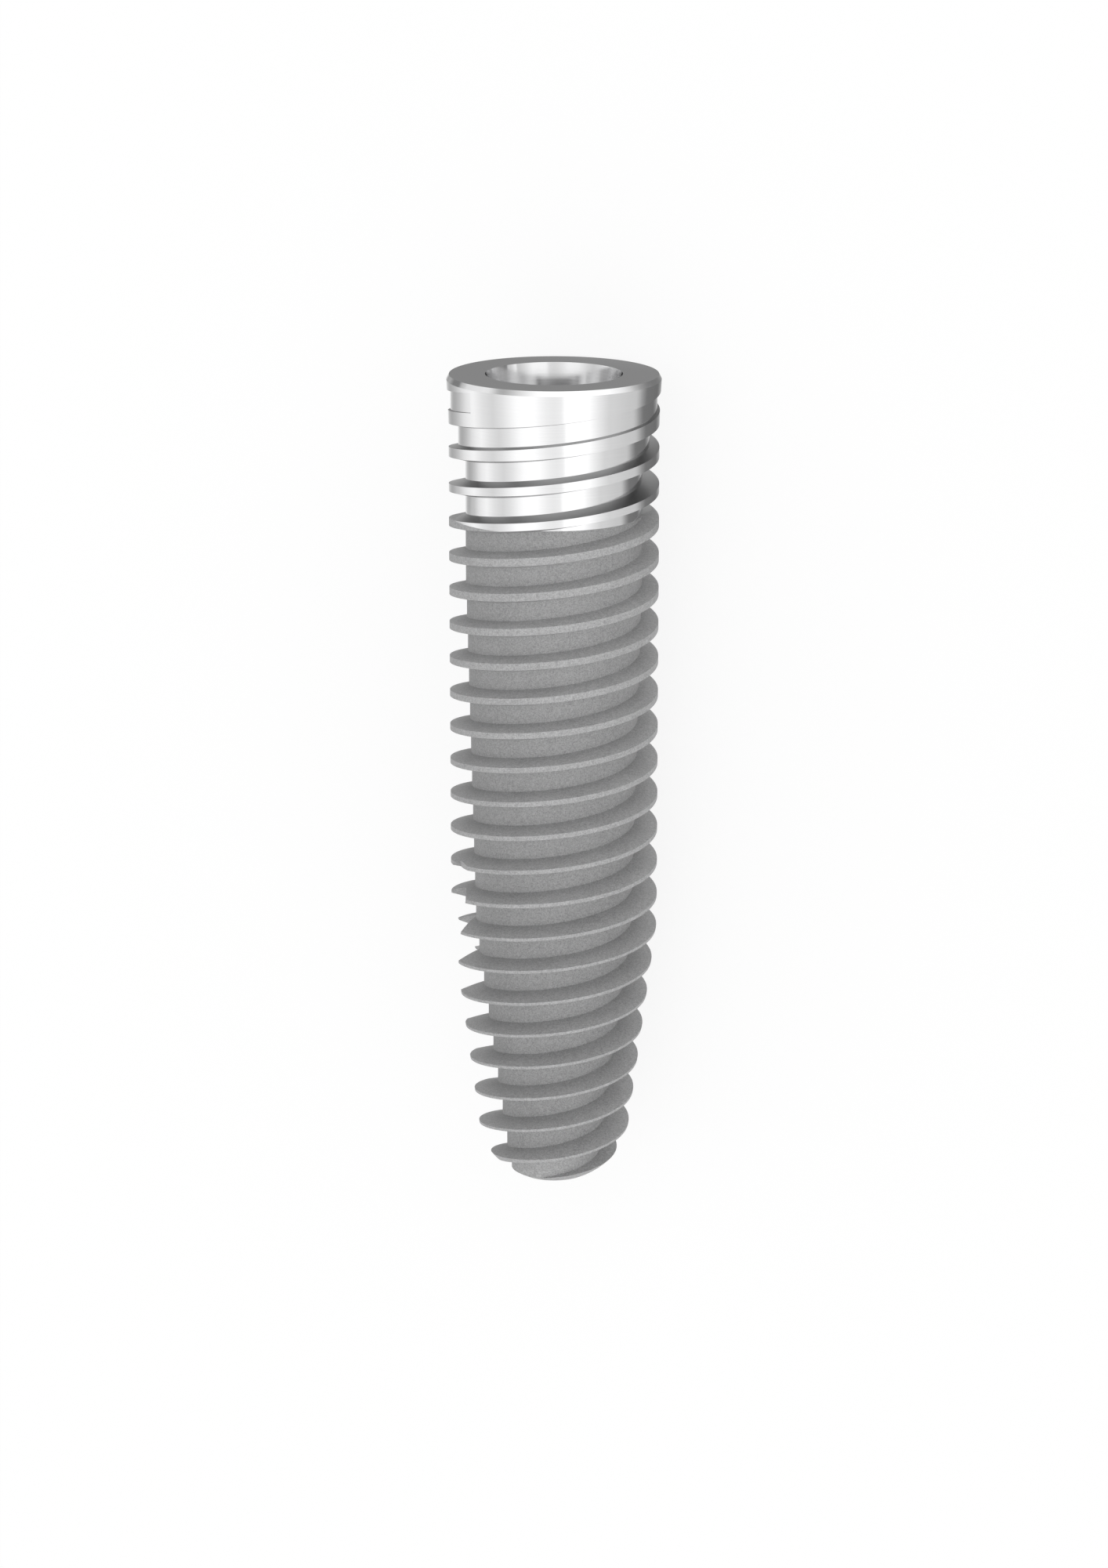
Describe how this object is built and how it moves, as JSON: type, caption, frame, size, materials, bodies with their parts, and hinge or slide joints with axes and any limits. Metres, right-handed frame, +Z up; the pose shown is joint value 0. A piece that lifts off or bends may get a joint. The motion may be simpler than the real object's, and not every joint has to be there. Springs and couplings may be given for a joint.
{
  "type": "dental implant",
  "caption": "Tapered threaded dental implant with a polished collar, grit-blasted body, cutting flute and internal conical hexagon connection.",
  "frame": {"origin": "on the surface it lies on, under the axis, halfway along the implant", "axes": "+Y along the implant's axis towards the platform, +Z up; it lies on its side"},
  "size_m": [0.004, 0.016, 0.0041],
  "materials": {
    "titanium": "grit-blasted and etched below, polished collar above"
  },
  "bodies": {
    "root": {"implant_body": "titanium"}
  },
  "joints": []
}
